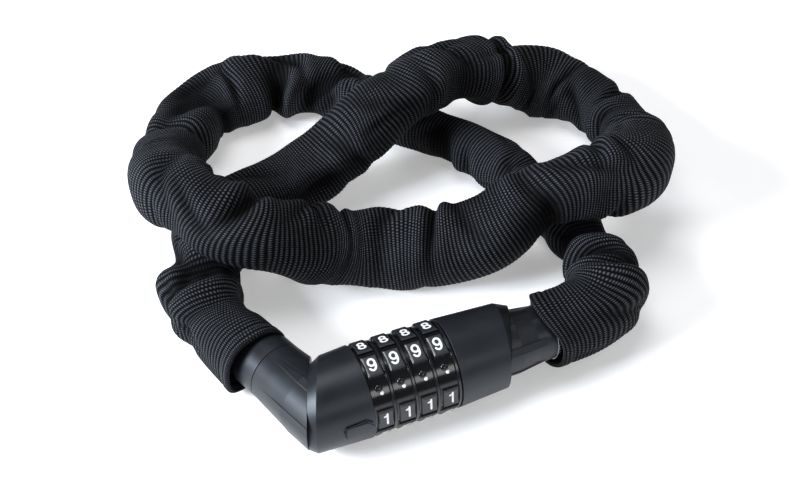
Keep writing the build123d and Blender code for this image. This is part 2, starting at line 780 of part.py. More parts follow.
with BuildPart() as plug_ferrule:
    revolve(
        tube_outline(PLUG_NECK_END, FERRULE_END, PLUG_SHANK, FERRULE_RADIUS),
        axis=BARREL_AXIS,
    )
save(plug_ferrule.part, "plug_ferrule")


# ---- sleeve ----
def corner_radii(points):
    """The largest tangent arc that each corner's two runs allow."""
    radii = []
    for before, corner, after in zip(points, points[1:], points[2:]):
        turn = (corner - before).get_angle(after - corner)
        run = min((corner - before).length, (after - corner).length)
        radii.append(ARC_SHARE * run / tan(radians(turn / 2)))
    return radii


def sleeve_tube(points, name):
    """The woven sleeve as a plain hollow tube along part of the route."""
    radii = corner_radii(points)
    with BuildPart() as tube:
        with BuildLine() as path:
            FilletPolyline(*points, radius=radii)
        centre_line = path.wire()
        with BuildSketch(Plane(origin=centre_line @ 0, z_dir=centre_line % 0)):
            Circle(SLEEVE_RADIUS)
            Circle(SLEEVE_RADIUS - SLEEVE_WALL, mode=Mode.SUBTRACT)
        sweep(path=centre_line)
    section = pi * (SLEEVE_RADIUS**2 - (SLEEVE_RADIUS - SLEEVE_WALL) ** 2)
    share = tube.part.volume / (section * centre_line.length)
    print(name, "radii", [round(radius) for radius in radii])
    print(name, "length", round(centre_line.length, 1), "volume / (section x length)", round(share, 4))
    return tube.part, centre_line


split_direction = (route[SPLIT_POINT] - route[SPLIT_POINT - 1]).normalized()
split_place = (route[SPLIT_POINT] + route[SPLIT_POINT - 1]) * 0.5
main_points = route[:SPLIT_POINT] + [split_place]
plug_points = [split_place + split_direction * SPLIT_GAP] + route[SPLIT_POINT:]
sleeve_main, main_line = sleeve_tube(main_points, "sleeve_main")
sleeve_plug_end, plug_line = sleeve_tube(plug_points, "sleeve_plug_end")
save(sleeve_main, "sleeve_main")
save(sleeve_plug_end, "sleeve_plug_end")


# ---- chain ----
def chain_link(start, end, upright):
    """One oval link between two joints of the chain, standing on edge or lying flat."""
    along = (end - start).normalized()
    level = Vector(0, 0, 1).cross(along).normalized()
    across = level if upright else along.cross(level)
    face = Plane(origin=(start + end) * 0.5, x_dir=along, z_dir=across)
    half = (LINK_INNER_LENGTH - LINK_INNER_WIDTH) / 2
    bow = (LINK_INNER_WIDTH + LINK_WIRE) / 2
    with BuildPart() as link:
        with BuildLine(face) as loop:
            Line((-half, bow), (half, bow))
            CenterArc((half, 0), bow, 90, -180)
            Line((half, -bow), (-half, -bow))
            CenterArc((-half, 0), bow, 270, -180)
        with BuildSketch(Plane(origin=loop.wire() @ 0, z_dir=loop.wire() % 0)):
            Circle(LINK_WIRE / 2)
        sweep(path=loop.wire())
    return link.part


anchor_first = NECK_START + NECK_DIRECTION * (ANCHOR_STATION - ANCHOR_RADIUS + ANCHOR_PLAY)
anchor_last = BARREL + Vector(PLUG_ANCHOR_STATION - ANCHOR_RADIUS + ANCHOR_PLAY, 0, 0)
chain_route = [anchor_first] + route[1:-1] + [anchor_last]
chain_path = FilletPolyline(*chain_route, radius=corner_radii(chain_route))
link_count = 2 * round((chain_path.length / LINK_SPACING - 1) / 2) + 1
step = chain_path.length / link_count
joints = [
    chain_path.position_at(index * step, position_mode=PositionMode.LENGTH)
    for index in range(link_count + 1)
]
main_share = main_line.length / (main_line.length + plug_line.length)
split_link = round(link_count * main_share)
links = [chain_link(joints[i], joints[i + 1], i % 2 == 0) for i in range(link_count)]
save(Compound(children=links[:split_link]), "chain_links")
save(Compound(children=links[split_link:]), "chain_links_plug_end")
print("links", link_count, "spacing", round(step, 2))
print("chain length", round(chain_path.length, 1))
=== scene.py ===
import json
from math import cos, pi, radians, sin, tau

import bpy
import numpy as np
from mathutils import Matrix, Vector

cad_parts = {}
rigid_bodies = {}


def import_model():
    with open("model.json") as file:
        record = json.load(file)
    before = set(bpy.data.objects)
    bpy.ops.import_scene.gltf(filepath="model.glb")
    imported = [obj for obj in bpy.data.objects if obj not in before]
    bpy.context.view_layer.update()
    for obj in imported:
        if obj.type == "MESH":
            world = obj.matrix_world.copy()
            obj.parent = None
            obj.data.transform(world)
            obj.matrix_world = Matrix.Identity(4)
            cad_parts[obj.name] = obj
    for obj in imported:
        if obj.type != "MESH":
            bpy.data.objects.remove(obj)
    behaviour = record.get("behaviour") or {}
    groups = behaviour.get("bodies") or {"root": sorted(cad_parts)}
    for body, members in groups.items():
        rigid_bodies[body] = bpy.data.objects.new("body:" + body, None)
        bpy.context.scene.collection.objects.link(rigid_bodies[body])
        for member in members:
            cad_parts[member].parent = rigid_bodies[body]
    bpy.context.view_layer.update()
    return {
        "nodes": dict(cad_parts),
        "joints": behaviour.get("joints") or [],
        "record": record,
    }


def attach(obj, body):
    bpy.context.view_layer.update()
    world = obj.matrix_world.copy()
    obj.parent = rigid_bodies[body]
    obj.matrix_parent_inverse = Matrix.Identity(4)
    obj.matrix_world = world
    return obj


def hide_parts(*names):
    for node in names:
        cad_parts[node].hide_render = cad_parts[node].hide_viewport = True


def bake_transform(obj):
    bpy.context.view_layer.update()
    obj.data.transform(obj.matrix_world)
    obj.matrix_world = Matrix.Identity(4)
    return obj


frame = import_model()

# A chain lock, closed, in metres: +X along the barrel, +Z up, z = 0 is the surface.
# Everything below is placed from the barrel's middle, which the dials' joint gives.

scene = bpy.context.scene
BARREL = Vector(next(j for j in frame["joints"] if j["name"] == "dial_1_turn")["pos_m"])
MM = 0.001


def link_object(name, data):
    piece = bpy.data.objects.new(name, data)
    scene.collection.objects.link(piece)
    return piece


def mesh_object(name, vertices, faces, smooth=True):
    mesh = bpy.data.meshes.new(name)
    mesh.from_pydata([tuple(v) for v in vertices], [], [tuple(f) for f in faces])
    mesh.validate()
    mesh.update()
    if smooth:
        mesh.polygons.foreach_set("use_smooth", [True] * len(mesh.polygons))
    return link_object(name, mesh)


# ---- camera, placed from the barrel's middle ----
CAMERA_PLACE = Vector((-0.1159, -0.2742, 0.3571))
CAMERA_RIGHT = Vector((0.922, -0.3875, 0.0)).normalized()
CAMERA_FORWARD = Vector((0.278, 0.662, -0.696)).normalized()
camera_up = CAMERA_RIGHT.cross(CAMERA_FORWARD)
camera_data = bpy.data.cameras.new("camera")
camera_data.lens = 56.25
camera_data.sensor_width = 36.0
camera_data.clip_start = 0.01
camera_data.clip_end = 20.0
camera = link_object("camera", camera_data)
camera.matrix_world = (
    Matrix.Translation(BARREL + CAMERA_PLACE)
    @ Matrix((CAMERA_RIGHT, camera_up, -CAMERA_FORWARD)).transposed().to_4x4()
)
scene.camera = camera

# ---- the sleeve's line ----
FLOOR = 12.6
LOW = 11.0
OVER = 38.2
# (x, y) from the barrel's middle and z above the surface, in millimetres. It is the CAD
# sleeve's route, moved a little near both ends, and lower at LOW, where the woven sleeve
# is narrower than the CAD tube.
ROUTE = [
    (-47.6, 31.3, 14.9),
    (-54.2, 52.4, 13.1),
    (-56.5, 75, FLOOR),
    (-47.5, 97, FLOOR),
    (-33, 112.5, FLOOR),
    (-10, 121.5, FLOOR),
    (13, 124, 18),
    (33, 126, 31),
    (50, 131, OVER),
    (80.5, 141.5, OVER),
    (105.5, 151.5, 26),
    (127, 149.5, 14),
    (145, 135, FLOOR),
    (154, 114.7, FLOOR),
    (149.5, 93.2, 15),
    (142.5, 70, 27),
    (123, 49, OVER),
    (91, 50.5, OVER),
    (67, 52, 27),
    (43, 59, 15),
    (22, 70, FLOOR),
    (3.5, 76, 14),
    (-14, 76, 26),
    (-39.5, 80.6, OVER),
    (-54.5, 112.5, OVER),
    (-51.5, 138.3, 27),
    (-45.2, 157.2, 15),
    (-38.1, 169.6, FLOOR),
    (-26.2, 186.9, FLOOR),
    (-4, 196.7, FLOOR),
    (19.7, 195.8, FLOOR),
    (42.5, 181, FLOOR),
    (57.8, 159.5, LOW),
    (71.8, 134.5, LOW),
    (85.6, 112.4, LOW),
    (95, 89, LOW),
    (99, 64, LOW),
    (100.2, 37, FLOOR),
    (98.5, 17, 15),
    (82, 0, 17.63),
    (61, 0, 17.63),
]
# The sleeve is split halfway between this point of the route and the one before it.
SPLIT_POINT = 33
STEPS_BETWEEN_POINTS = 24
BEND_SMOOTHING = 15
route_points = [Vector((BARREL.x + x * MM, BARREL.y + y * MM, z * MM)) for x, y, z in ROUTE]


def nurbs_line(points):
    """Points along the smooth NURBS spline that has these control points."""
    curve = bpy.data.curves.new("line", "CURVE")
    curve.dimensions = "3D"
    spline = curve.splines.new("NURBS")
    spline.points.add(len(points) - 1)
    for control, place in zip(spline.points, points):
        control.co = (*place, 1.0)
    spline.order_u = 3
    spline.use_endpoint_u = True
    spline.resolution_u = STEPS_BETWEEN_POINTS
    carrier = link_object("line", curve)
    bpy.context.view_layer.update()
    mesh = bpy.data.meshes.new_from_object(carrier)
    line = np.array([v.co[:] for v in mesh.vertices])
    bpy.data.objects.remove(carrier)
    bpy.data.curves.remove(curve)
    bpy.data.meshes.remove(mesh)
    return line


def lengths_along(line):
    return np.concatenate([[0], np.cumsum(np.linalg.norm(np.diff(line, axis=0), axis=1))])


LINE = nurbs_line(route_points)
LINE_S = lengths_along(LINE)
LINE_LENGTH = LINE_S[-1]
split_place = np.array((route_points[SPLIT_POINT - 1] + route_points[SPLIT_POINT]) / 2)
SPLIT_S = LINE_S[np.argmin(np.linalg.norm(LINE - split_place, axis=1))]


def unit(v):
    return v / np.linalg.norm(v, axis=-1, keepdims=True)


def sample(values, s):
    """A table over LINE_S read at lengths s."""
    return np.stack([np.interp(s, LINE_S, values[:, k]) for k in range(3)], axis=-1)


TANGENTS = unit(np.gradient(LINE, LINE_S, axis=0))
SIDES = unit(np.cross(TANGENTS, (0, 0, 1)))
UPS = np.cross(SIDES, TANGENTS)
bends = np.gradient(TANGENTS, LINE_S, axis=0)
BEND_SIDE = np.sum(bends * SIDES, axis=1)
BEND_SIDE = np.convolve(BEND_SIDE, np.ones(BEND_SMOOTHING) / BEND_SMOOTHING, mode="same")


def line_point(s):
    """Points on the line at lengths s, carried straight on past both ends."""
    place = sample(LINE, np.clip(s, 0, LINE_LENGTH))
    before = np.minimum(s, 0)[..., None] * TANGENTS[0]
    after = np.maximum(s - LINE_LENGTH, 0)[..., None] * TANGENTS[-1]
    return place + before + after


# ---- woven sleeve ----
RIB_PITCH = 1.6 * MM
RIB_PHASES = (0.0, 0.3, 0.7)
RIB_HEIGHT = 0.2 * MM
AROUND = 52
DOTS_AROUND = 96
WALL = 1.5 * MM
LINK_PITCH = 18.87 * MM
SWELL_DEPTH = 0.9 * MM
DRIFT_DEPTH = 2.0 * MM
BEAT_WIDTH = 0.8 * MM
BEAT_HEIGHT = 0.6 * MM
PLEAT_DEPTH = 1.2 * MM
PLEAT_PITCH = 12.5 * MM
PLEAT_WANDER = 21 * MM
TIGHT_BEND = 22.0
# Folds, swells and drifts fade over this length towards both mouths.
QUIET_REACH = 30 * MM
QUIET_LEAST = 0.12
MOUTH_REACH = 34 * MM

draw = np.random.RandomState(11)


def waves(count, longest, shortest, turns):
    """Random waves along and round the sleeve, as (wave number, turns round, phase)."""
    return [
        (
            tau / (draw.uniform(shortest, longest) * MM),
            draw.randint(-turns, turns + 1),
            draw.uniform(0, tau),
        )
        for _ in range(count)
    ]


SWELLS = waves(9, 70, 26, 2)
DRIFTS = waves(7, 90, 34, 2)


def swell(s, angle):
    """The swells' sum at a place, usually between -1.5 and 1.5."""
    total = sum(np.cos(k * s + m * angle + p) for k, m, p in SWELLS)
    return total / len(SWELLS) ** 0.5


# The folds that stand out. Each is a valley with a lip on either side: its place along the
# line in mm, its angle round the sleeve (0 is the right of the way along, 90 is up), the
# valley's half width and half length in mm, its slant in degrees (0 runs round the sleeve,
# 90 runs along it) and its depth in mm. A depth below zero makes a bulge.
FOLDS = [
    (24, 170, 1.8, 12, 70, 1.7),
    (36, 165, 2.0, 12, 60, 1.9),
    (42, 112, 3.6, 20, 8, 6.0),
    (53, 130, 4.2, 12, -35, 5.5),
    (66, 180, 8.0, 20, 0, 2.0),
    (67, 95, 2.4, 14, 20, 3.0),
    (104, 100, 2.4, 12, 65, 2.4),
    (130, 10, 3.8, 22, 82, 3.2),
    (152, 25, 2.6, 14, 15, 2.6),
    (170, 70, 3.0, 15, 40, 1.9),
    (193, 45, 2.6, 16, -20, 1.9),
    (200, 150, 12.0, 20, 0, -1.6),
    (214, 80, 2.8, 14, 15, 1.9),
    (214, 0, 7.0, 16, 0, 2.0),
    (236, 130, 6.0, 14, 0, 1.6),
    (240, 60, 3.4, 30, 0, 5.0),
    (260, 60, 5.0, 16, 10, 3.0),
    (270, 145, 11.0, 16, 0, -2.4),
    (283, 60, 2.4, 16, -12, 2.6),
    (297, 20, 3.2, 13, 35, 3.2),
    (309, 175, 9.0, 20, 0, 3.2),
    (312, 95, 2.2, 14, 15, 2.2),
    (326, 15, 3.2, 15, 0, 3.5),
    (332, 0, 10.0, 18, 0, 2.6),
    (338, 110, 2.0, 16, 8, 2.6),
    (347, 75, 2.0, 18, -8, 2.6),
    (357, 60, 2.0, 18, 5, 2.4),
    (384, 180, 10.0, 20, 0, -1.8),
    (390, 70, 2.6, 14, 10, 1.9),
    (401, 60, 2.4, 12, -15, 2.2),
    (427, 80, 3.0, 14, 0, 2.2),
    (429, 192, 9.0, 18, 0, 4.4),
    (453, 20, 11.0, 20, 0, 2.8),
    (455, 100, 2.6, 14, 20, 1.7),
    (473, 80, 3.0, 17, 0, 3.8),
    (496, 130, 3.0, 16, -10, 1.4),
    (516, 75, 2.4, 13, 8, 2.2),
    (530, 60, 2.0, 9, 0, 2.4),
    (558, 85, 3.4, 14, -25, 3.4),
    (575, 130, 2.6, 14, 55, 1.9),
    (592, 110, 3.0, 14, 35, 2.2),
    (598, 180, 12.0, 20, 0, -2.2),
    (616, 150, 2.6, 15, 15, 2.2),
    (642, 180, 10.0, 18, 0, -1.5),
    (651, 85, 4.6, 26, 12, 6.0),
    (668, 92, 4.2, 16, 75, 4.4),
    (682, -10, 8.0, 20, 0, 3.6),
    (683, 165, 9.0, 24, 0, 3.0),
    (688, 105, 3.2, 14, 80, 3.0),
    (702, 60, 2.6, 14, -15, 2.6),
    (723, 25, 5.6, 24, -5, 6.4),
    (732, 95, 3.2, 16, 40, 3.0),
    (735, 0, 10.0, 16, 0, -2.0),
    (753, 40, 5.0, 22, -30, 6.0),
    (764, 105, 3.0, 13, 50, 3.0),
    (778, 60, 3.8, 15, 10, 3.0),
    (818, 0, 10.0, 18, 0, 3.0),
    (820, 20, 4.2, 14, 0, 3.2),
    (836, 0, 3.0, 12, 10, 2.4),
    (860, 70, 2.8, 14, -15, 1.9),
    (888, 60, 4.0, 16, 5, 3.0),
    (911, 10, 5.0, 22, 4, 4.8),
    (915, 180, 10.0, 22, 0, 3.6),
    (930, 60, 4.6, 28, -8, 6.0),
    (938, 120, 2.6, 16, 12, 4.2),
    (951, 165, 2.0, 12, 45, 2.2),
    (969, 195, 1.6, 16, 82, 1.7),
]
FOLD_GIRTH = 14.5 * MM
LIP_HEIGHT = 0.3
LIP_PLACE = 2.3
LIP_WIDTH = 1.2
SMALL_FOLDS = 84
SMALL_FOLD_SLANTS = (0, 0, 25, -25, 65, 90)
for _ in range(SMALL_FOLDS):
    FOLDS.append(
        (
            draw.uniform(20, 965),
            draw.uniform(-180, 180),
            draw.uniform(1.6, 3.4),
            draw.uniform(7, 17),
            draw.choice(SMALL_FOLD_SLANTS) + draw.uniform(-15, 15),
            draw.uniform(0.6, 2.0),
        )
    )


def folded(s, angle):
    """How far the folds push the sleeve's surface out, in metres."""
    total = np.zeros(np.broadcast(s, angle).shape)
    for at, where, wide, long, slant, depth in FOLDS:
        along = s - at * MM
        near = np.abs(along) < 3 * long * MM
        if not near.any():
            continue
        round_it = ((angle - radians(where) + pi) % tau - pi) * FOLD_GIRTH
        cosine, sine = cos(radians(slant)), sin(radians(slant))
        across = (along * cosine + round_it * sine) / (wide * MM)
        length = (round_it * cosine - along * sine) / (long * MM)
        fade = np.exp(-(length**2))
        valley = np.exp(-(across**2))
        lips = np.exp(-(((np.abs(across) - LIP_PLACE) / LIP_WIDTH) ** 2))
        total += depth * MM * fade * (LIP_HEIGHT * lips - valley)
    return total


def drift(s, angle):
    """The drifts' sum at a place, usually between -1.5 and 1.5."""
    return sum(np.cos(k * s + m * angle + p) for k, m, p in DRIFTS) / len(DRIFTS) ** 0.5


# The sleeve's half width and half height in mm and its roll in degrees at some of the
# route's points.
SHAPE = {
    0: (13.6, 14.4, 0),
    1: (12.3, 13.8, 0),
    2: (15.8, 13.6, 0),
    3: (15.6, 13.0, 0),
    4: (15.2, 12.8, 0),
    6: (14.8, 12.6, 0),
    8: (14.0, 12.2, 0),
    9: (13.2, 12.0, 0),
    10: (17.6, 13.4, 0),
    11: (16.6, 13.0, 0),
    12: (13.4, 12.6, 0),
    14: (13.6, 12.4, 0),
    15: (14.2, 12.8, 0),
    16: (15.6, 13.0, 0),
    17: (13.6, 12.4, 0),
    18: (15.6, 13.4, 4),
    19: (16.4, 14.2, 8),
    21: (16.2, 13.6, 6),
    23: (15.6, 13.0, 0),
    24: (13.8, 13.0, 0),
    26: (13.0, 12.8, 0),
    28: (16.8, 12.8, 0),
    30: (15.8, 13.0, 0),
    31: (11.2, 11.8, 0),
    32: (9.8, 10.8, 0),
    33: (9.8, 10.6, 0),
    34: (9.8, 10.6, 0),
    35: (10.6, 10.8, 0),
    36: (10.8, 11.0, 0),
    37: (11.4, 11.8, 0),
    38: (14.8, 12.8, 0),
    39: (13.9, 13.3, 0),
    40: (13.9, 13.6, 0),
}
# The section's power: 2 makes an ellipse and more makes it squarer.
SQUARENESS = 2.5
# The outer wall is never nearer to the line than this.
CLEAR_OF_CHAIN = 9.0 * MM
shape_s = [
    LINE_S[np.argmin(np.linalg.norm(LINE - np.array(route_points[index]), axis=1))]
    for index in SHAPE
]
shape_table = np.array(list(SHAPE.values()), float)


def quietness(s, least):
    """1 along most of the sleeve, falling to the least value at both mouths."""
    return np.clip(np.minimum(s, LINE_LENGTH - s) / QUIET_REACH, least, 1)


def section(s, angle, detail=1.0, inset=0.0):
    """Offsets (sideways, upwards) of the sleeve's surface from its line."""
    half_width = np.interp(s, shape_s, shape_table[:, 0]) * MM
    half_height = np.interp(s, shape_s, shape_table[:, 1]) * MM
    roll = np.radians(np.interp(s, shape_s, shape_table[:, 2]))
    link_beat = np.cos(pi * s / LINK_PITCH)
    quiet = quietness(s, QUIET_LEAST)
    half_width = half_width + BEAT_WIDTH * link_beat * quiet * detail
    half_height = half_height - BEAT_HEIGHT * link_beat * quiet * detail
    cosine, sine = np.cos(angle), np.sin(angle)
    x = np.sign(cosine) * np.abs(cosine) ** (2 / SQUARENESS)
    y = np.sign(sine) * np.abs(sine) ** (2 / SQUARENESS)
    bend = np.interp(s, LINE_S, BEND_SIDE)
    inner = np.clip(np.sign(bend) * cosine, 0, 1) ** 1.5
    tightness = np.clip(np.abs(bend) / TIGHT_BEND, 0, 1)
    pleat_phase = pi * s / PLEAT_PITCH + 1.6 * np.sin(s / PLEAT_WANDER) + 0.7 * sine
    pleats = 0.5 - np.abs(np.cos(pleat_phase))
    bulge = SWELL_DEPTH * swell(s, angle) + folded(s, angle)
    bulge = bulge + PLEAT_DEPTH * pleats * inner * tightness
    bulge = bulge * quiet * detail - inset
    sideways = half_width * x + bulge * cosine
    upwards = half_height * y + bulge * sine
    away = np.hypot(sideways, upwards)
    held_off = np.maximum(away, CLEAR_OF_CHAIN - inset) / away
    sideways, upwards = sideways * held_off, upwards * held_off
    cosine, sine = np.cos(roll), np.sin(roll)
    return sideways * cosine - upwards * sine, sideways * sine + upwards * cosine


def mouth_shift(s, angle):
    """How the two mouths reach over the necks, farthest near the top, unevenly round."""
    left = np.clip(1 - s / MOUTH_REACH, 0, 1) ** 2
    right = np.clip(1 - (LINE_LENGTH - s) / MOUTH_REACH, 0, 1) ** 2
    left_reach = 3.0 * np.sin(angle) + 2.0 * np.cos(angle) ** 2
    right_reach = 1.75 * np.sin(angle) + 3.75 * np.sin(angle) ** 2
    return (right * right_reach - left * left_reach) * MM


def surface(s, angle, detail=1.0, inset=0.0):
    """Points of the sleeve's wall at lengths s and angles round it."""
    along = s + DRIFT_DEPTH * drift(s, angle) * quietness(s, 0) + mouth_shift(s, angle)
    held = np.clip(along, 0, LINE_LENGTH)
    sideways, upwards = section(s, angle, detail, inset)
    return (
        line_point(along)
        + sample(SIDES, held) * sideways[..., None]
        + sample(UPS, held) * upwards[..., None]
    )


# The sleeve is pressed flat where it would come lower than this.
REST_HEIGHT = 0.25 * MM
# How deep a fold's valley must be for its painted shade to be full.
FOLD_SHADE_DEPTH = 4.0 * MM
HEM_WIDTH = 3.4 * MM
HEM_HEIGHT = 0.35 * MM
HEM_SEAM = 3.9 * MM
HEM_SEAM_WIDTH = 0.5 * MM
INNER_STEP = 4.2 * MM
INNER_DETAIL = 0.8
INNER_ROOM = 0.4 * MM
INNER_ROOM_REACH = 20 * MM


def sleeve_piece(name, start, end):
    """The woven sleeve from one length along the line to another, with its inner wall."""
    ribs = int(round((end - start) / RIB_PITCH))
    pitch = (end - start) / ribs
    steps = np.array([rib + phase for rib in range(ribs) for phase in RIB_PHASES] + [ribs])
    outer_s = start + steps * pitch
    ridge = np.array([0.0, 1.0, 1.0] * ribs + [0.0])
    angles = np.arange(AROUND) / AROUND * tau
    grid_s, grid_a = np.meshgrid(outer_s, angles, indexing="ij")
    outer = surface(grid_s, grid_a)
    # Painted shade and light: the folds' valley depth, kept to darken the sleeve's colour there,
    # and their lips' rise, kept to lighten it.
    painted_fold_shade = np.clip(-folded(grid_s, grid_a) / FOLD_SHADE_DEPTH, -0.5, 1)
    along = np.gradient(outer, axis=0)
    round_it = (np.roll(outer, -1, axis=1) - np.roll(outer, 1, axis=1)) / 2
    normals = unit(np.cross(round_it, along))
    middle = line_point(grid_s)
    normals = normals * np.sign(np.sum(normals * (outer - middle), axis=-1, keepdims=True))
    from_mouth = np.minimum(grid_s, LINE_LENGTH - grid_s)
    in_hem = from_mouth < HEM_WIDTH
    hem = np.where(in_hem, HEM_HEIGHT, 0.0)
    hem = hem - HEM_HEIGHT * np.exp(-(((from_mouth - HEM_SEAM) / HEM_SEAM_WIDTH) ** 2))
    lift = ridge[:, None] * RIB_HEIGHT * np.where(in_hem, 0.4, 1.0) + hem
    outer = outer + normals * lift[..., None]

    inner_s = np.linspace(end, start, max(8, int((end - start) / INNER_STEP)))
    grid_s, grid_a = np.meshgrid(inner_s, angles, indexing="ij")
    away = np.clip(np.minimum(grid_s, LINE_LENGTH - grid_s) / INNER_ROOM_REACH, 0, 1)
    inner = surface(grid_s, grid_a, INNER_DETAIL, WALL + INNER_ROOM * away)

    def lip(first, last, outward):
        """Rings that roll a mouth's edge over from one wall to the other."""
        rings = []
        for turn in (0.25, 0.5, 0.75):
            blend = (1 - cos(pi * turn)) / 2
            bulge = WALL / 2 * sin(pi * turn)
            rings.append(first * (1 - blend) + last * blend + outward * bulge)
        return np.array(rings)

    end_out = sample(TANGENTS, np.array([end]))[0]
    start_out = -sample(TANGENTS, np.array([start]))[0]
    rings = np.concatenate(
        [
            outer,
            lip(outer[-1], inner[0], end_out),
            inner,
            lip(inner[-1], outer[0], start_out),
        ]
    )
    rings[..., 2] = np.maximum(rings[..., 2], REST_HEIGHT)
    count = len(rings)
    faces, weave = [], []
    last_step = steps[-1]
    step_of_ring = np.concatenate([steps, np.full(count - len(steps), last_step)])
    for ring in range(count):
        above = (ring + 1) % count
        low = step_of_ring[ring]
        high = step_of_ring[above] if ring < len(steps) - 1 else low + 0.5
        for k in range(AROUND):
            right = (k + 1) % AROUND
            faces.append(
                (
                    ring * AROUND + k,
                    ring * AROUND + right,
                    above * AROUND + right,
                    above * AROUND + k,
                )
            )
            near = k / AROUND * DOTS_AROUND
            far = (k + 1) / AROUND * DOTS_AROUND
            weave += [low, near, low, far, high, far, high, near]
    mesh = bpy.data.meshes.new(name)
    mesh.from_pydata(rings.reshape(-1, 3).tolist(), [], faces)
    layer = mesh.uv_layers.new(name="weave")
    layer.data.foreach_set("uv", weave)
    # The painted fold shade goes on the outer wall's points as an attribute; the inner wall has
    # none.
    painted_shade_values = np.zeros((count, AROUND))
    painted_shade_values[: len(steps)] = painted_fold_shade
    mesh.attributes.new("painted_fold_shade", "FLOAT", "POINT").data.foreach_set("value", painted_shade_values.ravel())
    mesh.polygons.foreach_set("use_smooth", [True] * len(mesh.polygons))
    mesh.update()
    volume = sum(
        Vector(mesh.vertices[f.vertices[0]].co).dot(f.normal) * f.area for f in mesh.polygons
    )
    if volume < 0:
        mesh.flip_normals()
    return link_object(name, mesh)


SPLIT_GAP = 0.5 * MM
main_sleeve = sleeve_piece("woven_sleeve", 0.0, SPLIT_S)
plug_sleeve = sleeve_piece("woven_sleeve_plug_end", SPLIT_S + SPLIT_GAP, LINE_LENGTH)
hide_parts("sleeve_main")
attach(main_sleeve, "lock_body")
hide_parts("sleeve_plug_end")
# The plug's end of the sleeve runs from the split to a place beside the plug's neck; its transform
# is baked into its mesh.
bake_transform(plug_sleeve)

# ---- chain, inside the sleeve ----
LINK_COUNT = 51
MAIN_LINKS = 42
LINK_WIRE = 4.2 * MM
LINK_BOW = 5.0 * MM
LINK_HALF = 5.75 * MM
LINK_STEPS = 28
WIRE_STEPS = 10
ANCHOR_FROM_MOUTH = 7.7 * MM


def link_mesh(start, end, upright):
    """Vertices and faces of one oval chain link between two lengths along the line."""
    first, last = line_point(np.array([start, end]))
    axis = unit(last - first)
    side = unit(np.cross(axis, (0, 0, 1)))
    up = np.cross(side, axis)
    across = up if upright else side
    face = np.cross(axis, across)
    centre = (first + last) / 2
    loop = []
    for k in range(LINK_STEPS):
        angle = tau * k / LINK_STEPS
        shift = LINK_HALF if cos(angle) > 1e-6 else -LINK_HALF if cos(angle) < -1e-6 else 0
        loop.append((shift + LINK_BOW * cos(angle), LINK_BOW * sin(angle), angle))
    vertices, faces = [], []
    for x, y, angle in loop:
        out = axis * cos(angle) + across * sin(angle)
        for j in range(WIRE_STEPS):
            a = tau * j / WIRE_STEPS
            vertices.append(
                centre
                + axis * x
                + across * y
                + (out * cos(a) + face * sin(a)) * LINK_WIRE / 2
            )
    for k in range(LINK_STEPS):
        here = k * WIRE_STEPS
        there = (k + 1) % LINK_STEPS * WIRE_STEPS
        for j in range(WIRE_STEPS):
            m = (j + 1) % WIRE_STEPS
            faces.append((here + j, here + m, there + m, there + j))
    return vertices, faces


def chain_piece(name, first, last):
    """The chain's links from one number up to another, every second one on edge."""
    step = (LINE_LENGTH - 2 * ANCHOR_FROM_MOUTH) / LINK_COUNT
    vertices, faces = [], []
    for index in range(first, last):
        start = ANCHOR_FROM_MOUTH + index * step
        some, quads = link_mesh(start, start + step, index % 2 == 0)
        faces += [tuple(i + len(vertices) for i in quad) for quad in quads]
        vertices += some
    return mesh_object(name, vertices, faces)


main_chain = chain_piece("chain_in_sleeve", 0, MAIN_LINKS)
plug_chain = chain_piece("chain_in_sleeve_plug_end", MAIN_LINKS, LINK_COUNT)
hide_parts("chain_links")
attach(main_chain, "lock_body")
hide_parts("chain_links_plug_end")
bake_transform(plug_chain)

# ---- digits and zero marks on the dials ----
DIAL_PITCH = 8.5 * MM
DIAL_LEFT = 0.2 * MM
TILE_CENTRE = 3.8 * MM
TILE_FACE = 17.25 * MM
VALLEY_RADIUS = 16.2 * MM
# The row of the code is at this angle above -Y, in degrees, and 2 is this much below 1.
CODE_ROW = 6.0
ROW_STEP = 36
DIGIT_HEIGHT = 5.6 * MM
# The pen's width, for a digit one unit high.
STROKE = 0.14
PAINT = 0.05 * MM
# The zero has a painted dot and a bump in place of a digit.
DOT_RADIUS = 0.75 * MM
DOT_HEIGHT = 0.3 * MM
DOT_ROW = CODE_ROW + 35
BUMP_RADIUS = 1.5 * MM
BUMP_HEIGHT = 0.85 * MM
BUMP_ROW = CODE_ROW + 42


def arc(cx, cy, rx, ry, start, end, count=22):
    """Points along part of an ellipse, from one angle in degrees to another."""
    steps = [radians(start + (end - start) * k / count) for k in range(count + 1)]
    return [(cx + rx * cos(a), cy + ry * sin(a)) for a in steps]


# Each digit's strokes in a box one unit high, its middle at the origin.
DIGITS = {
    1: [[(0.06, -0.415), (0.06, 0.415)], [(0.06, 0.36), (0.0, 0.27), (-0.13, 0.225)]],
    2: [
        arc(0, 0.2, 0.21, 0.21, 165, -35) + [(-0.19, -0.39)],
        [(-0.21, -0.415), (0.23, -0.415)],
    ],
    3: [arc(0, 0.205, 0.19, 0.2, 155, -90), arc(0, -0.195, 0.21, 0.21, 90, -155)],
    4: [
        [(0.1, -0.415), (0.1, 0.415)],
        [(0.07, 0.4), (-0.22, -0.2)],
        [(-0.22, -0.2), (0.25, -0.2)],
    ],
    5: [
        [(0.2, 0.415), (-0.15, 0.415), (-0.18, 0.03)],
        arc(-0.005, -0.15, 0.215, 0.25, 130, -150),
    ],
    6: [arc(0, -0.165, 0.215, 0.24, 0, 360, 40), arc(0.03, 0.0, 0.245, 0.41, 190, 40)],
    7: [[(-0.21, 0.415), (0.21, 0.415), (-0.04, -0.02), (-0.09, -0.415)]],
    8: [arc(0, 0.21, 0.18, 0.195, 0, 360, 36), arc(0, -0.2, 0.215, 0.215, 0, 360, 40)],
    9: [arc(0, 0.165, 0.215, 0.24, 0, 360, 40), arc(-0.03, 0.0, 0.245, 0.41, 10, -140)],
}


